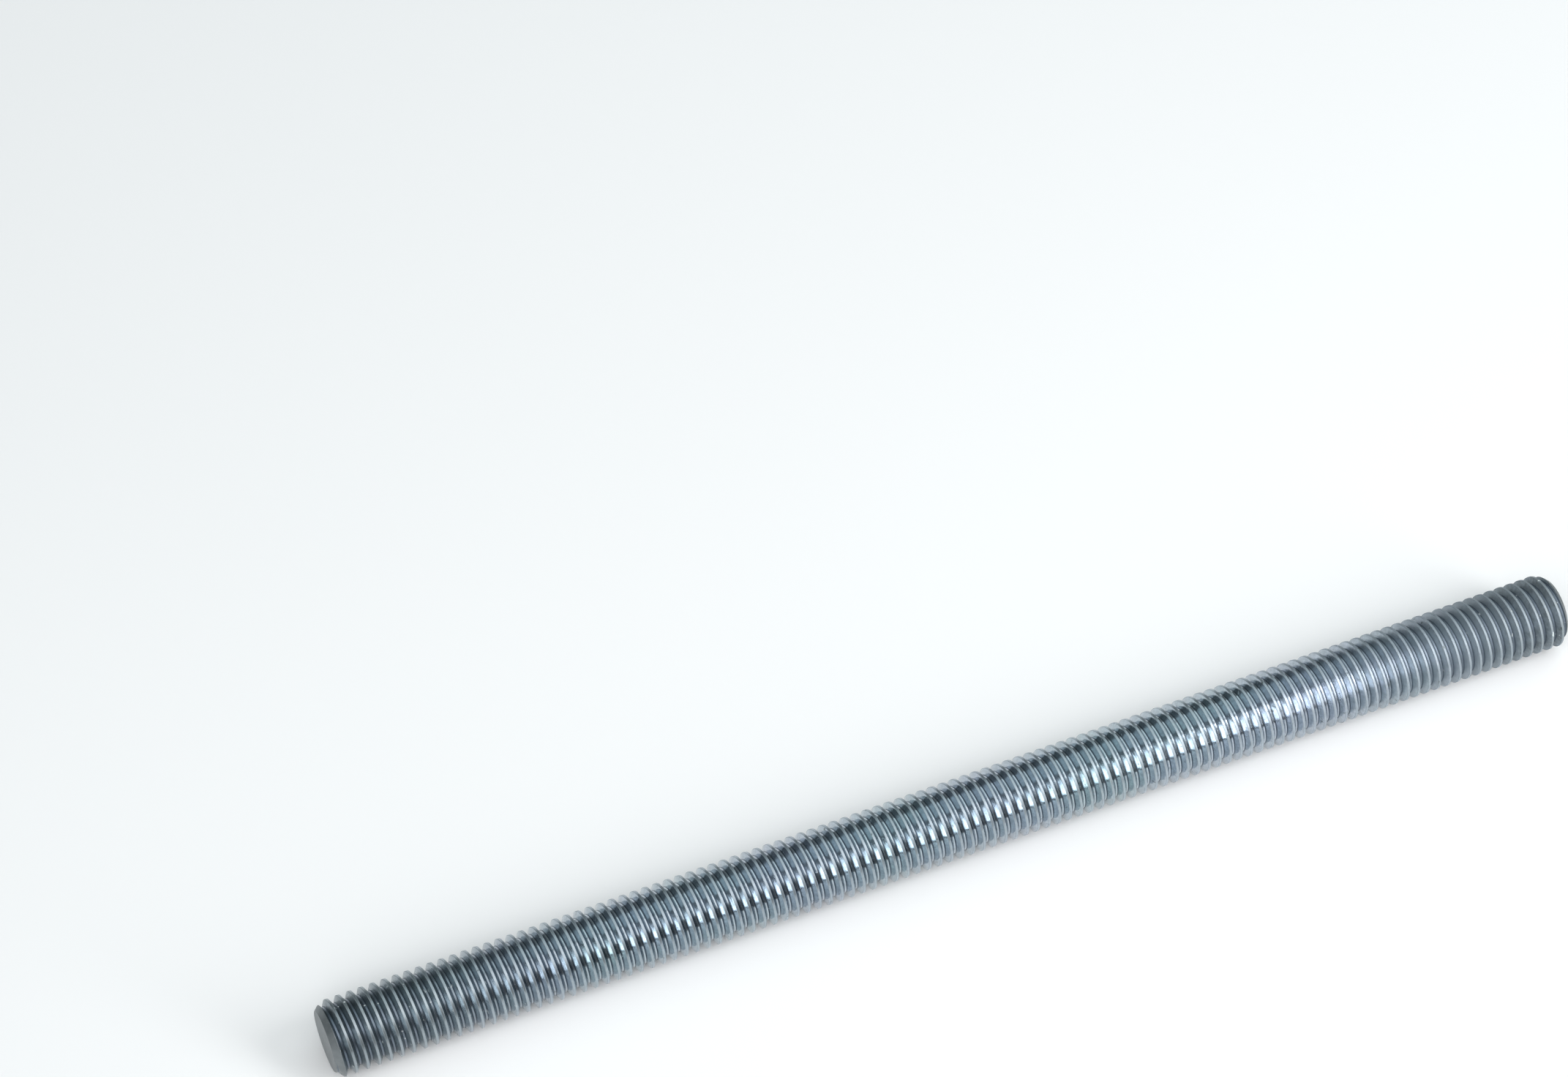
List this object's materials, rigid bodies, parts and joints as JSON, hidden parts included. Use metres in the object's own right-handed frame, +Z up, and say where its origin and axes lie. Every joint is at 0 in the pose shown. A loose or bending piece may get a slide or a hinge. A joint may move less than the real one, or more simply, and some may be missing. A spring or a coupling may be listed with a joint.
{
  "type": "threaded rod",
  "caption": "Straight steel rod with a right-hand metric thread over its whole length and a chamfer on both ends.",
  "frame": {"origin": "under the middle of the rod, on the plane that the rod rests on", "axes": "+X along the rod's axis, +Z up; the thread is right-hand, so it has no preferred end"},
  "size_m": [0.17, 0.0098, 0.0098],
  "materials": {
    "zinc_plated_steel": "bright zinc plate with a clear blue-grey passivation"
  },
  "bodies": {
    "root": {"threaded_rod": "zinc_plated_steel"}
  },
  "joints": []
}
